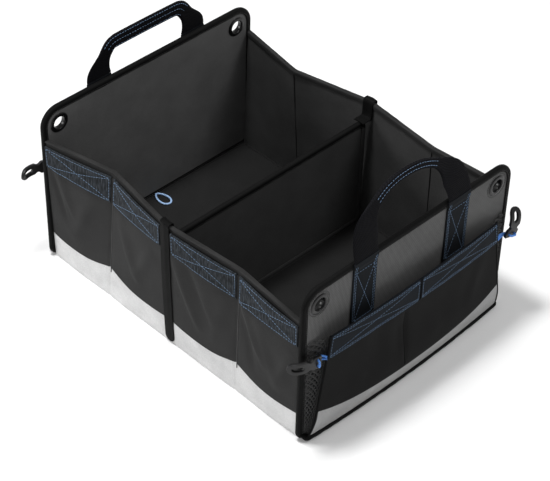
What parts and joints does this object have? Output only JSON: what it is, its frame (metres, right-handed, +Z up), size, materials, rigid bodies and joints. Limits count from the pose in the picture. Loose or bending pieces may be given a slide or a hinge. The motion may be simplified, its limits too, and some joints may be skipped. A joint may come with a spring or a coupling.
{
  "type": "car storage box",
  "caption": "Folding cloth storage box for a car boot, with a divider, sewn side pockets, end pockets with net gussets, webbing handles and elastic hooks.",
  "frame": {"origin": "on the ground, at the centre of the box's overall footprint", "axes": "+X towards the front end panel, -Y towards the near side wall, +Z up"},
  "size_m": [0.5655, 0.4462, 0.3446],
  "materials": {
    "wall_cloth": "charcoal woven cloth",
    "lining_cloth": "dark lining cloth",
    "ribbed_cloth": "grey fine-ribbed cloth",
    "edge_binding": "black woven binding tape",
    "hem_cloth": "dark flecked cloth",
    "pale_band_cloth": "pale grey cloth",
    "webbing": "black woven webbing",
    "mesh_cloth": "black net",
    "floor_board_cloth": "cloth-covered board",
    "moulded_plastic": "moulded satin",
    "eyelet_plastic": "moulded gloss",
    "elastic_cord": "braided blue elastic"
  },
  "bodies": {
    "box": {"base_board": "wall_cloth", "divider": "lining_cloth", "divider_binding": "edge_binding", "rear_floor_board": "floor_board_cloth", "front_floor_board": "floor_board_cloth", "pull_loop": "elastic_cord", "near_wall": "wall_cloth", "near_rim_binding": "edge_binding", "near_pale_band": "pale_band_cloth", "near_centre_strap": "edge_binding", "near_rear_pocket_cloth": "wall_cloth", "near_front_pocket_cloth": "wall_cloth", "near_pocket_hem_1": "hem_cloth", "near_pocket_hem_2": "hem_cloth", "near_pocket_hem_3": "hem_cloth", "near_pocket_hem_4": "hem_cloth", "far_wall": "wall_cloth", "far_rim_binding": "edge_binding", "far_pale_band": "pale_band_cloth", "far_centre_strap": "edge_binding", "far_rear_pocket_cloth": "wall_cloth", "far_front_pocket_cloth": "wall_cloth", "far_pocket_hem_1": "hem_cloth", "far_pocket_hem_2": "hem_cloth", "far_pocket_hem_3": "hem_cloth", "far_pocket_hem_4": "hem_cloth", "rear_panel": "ribbed_cloth", "rear_panel_binding": "edge_binding", "rear_pocket_cloth": "wall_cloth", "rear_pocket_hem": "hem_cloth", "rear_pocket_pale_strip": "pale_band_cloth", "rear_near_gusset": "mesh_cloth", "rear_near_eyelet": "eyelet_plastic", "rear_near_handle_patch": "webbing", "rear_far_gusset": "mesh_cloth", "rear_far_eyelet": "eyelet_plastic", "rear_far_handle_patch": "webbing", "front_panel": "ribbed_cloth", "front_panel_binding": "edge_binding", "front_pocket_cloth": "wall_cloth", "front_pocket_hem": "hem_cloth", "front_pocket_pale_strip": "pale_band_cloth", "front_near_gusset": "mesh_cloth", "front_near_eyelet": "eyelet_plastic", "front_near_handle_patch": "webbing", "front_far_gusset": "mesh_cloth", "front_far_eyelet": "eyelet_plastic", "front_far_handle_patch": "webbing"},
    "front_handle": {"front_handle": "webbing"},
    "rear_handle": {"rear_handle": "webbing"},
    "rear_near_hook": {"rear_near_hook": "moulded_plastic", "rear_near_elastic": "elastic_cord"},
    "rear_far_hook": {"rear_far_hook": "moulded_plastic", "rear_far_elastic": "elastic_cord"},
    "front_near_hook": {"front_near_hook": "moulded_plastic", "front_near_elastic": "elastic_cord"},
    "front_far_hook": {"front_far_hook": "moulded_plastic", "front_far_elastic": "elastic_cord"}
  },
  "joints": [
    {"name": "front_handle_swing", "type": "hinge", "parent": "box", "child": "front_handle", "pos_m": [0.2588, 0, 0.2623], "axis": [0, 1, 0], "range_deg": [-68, 117]},
    {"name": "rear_handle_swing", "type": "hinge", "parent": "box", "child": "rear_handle", "pos_m": [-0.2588, 0, 0.2623], "axis": [0, -1, 0], "range_deg": [-85, 100]},
    {"name": "rear_near_hook_swing", "type": "hinge", "parent": "box", "child": "rear_near_hook", "pos_m": [-0.2713, -0.16884, 0.146], "axis": [0, 0, -1], "range_deg": [-27.1, 72.9]},
    {"name": "rear_far_hook_swing", "type": "hinge", "parent": "box", "child": "rear_far_hook", "pos_m": [-0.2713, 0.16884, 0.146], "axis": [0, 0, 1], "range_deg": [-20, 80]},
    {"name": "front_near_hook_swing", "type": "hinge", "parent": "box", "child": "front_near_hook", "pos_m": [0.2713, -0.16884, 0.146], "axis": [0, 0, 1], "range_deg": [0, 100]},
    {"name": "front_far_hook_swing", "type": "hinge", "parent": "box", "child": "front_far_hook", "pos_m": [0.2713, 0.16884, 0.146], "axis": [0, 0, -1], "range_deg": [-12, 75]}
  ]
}
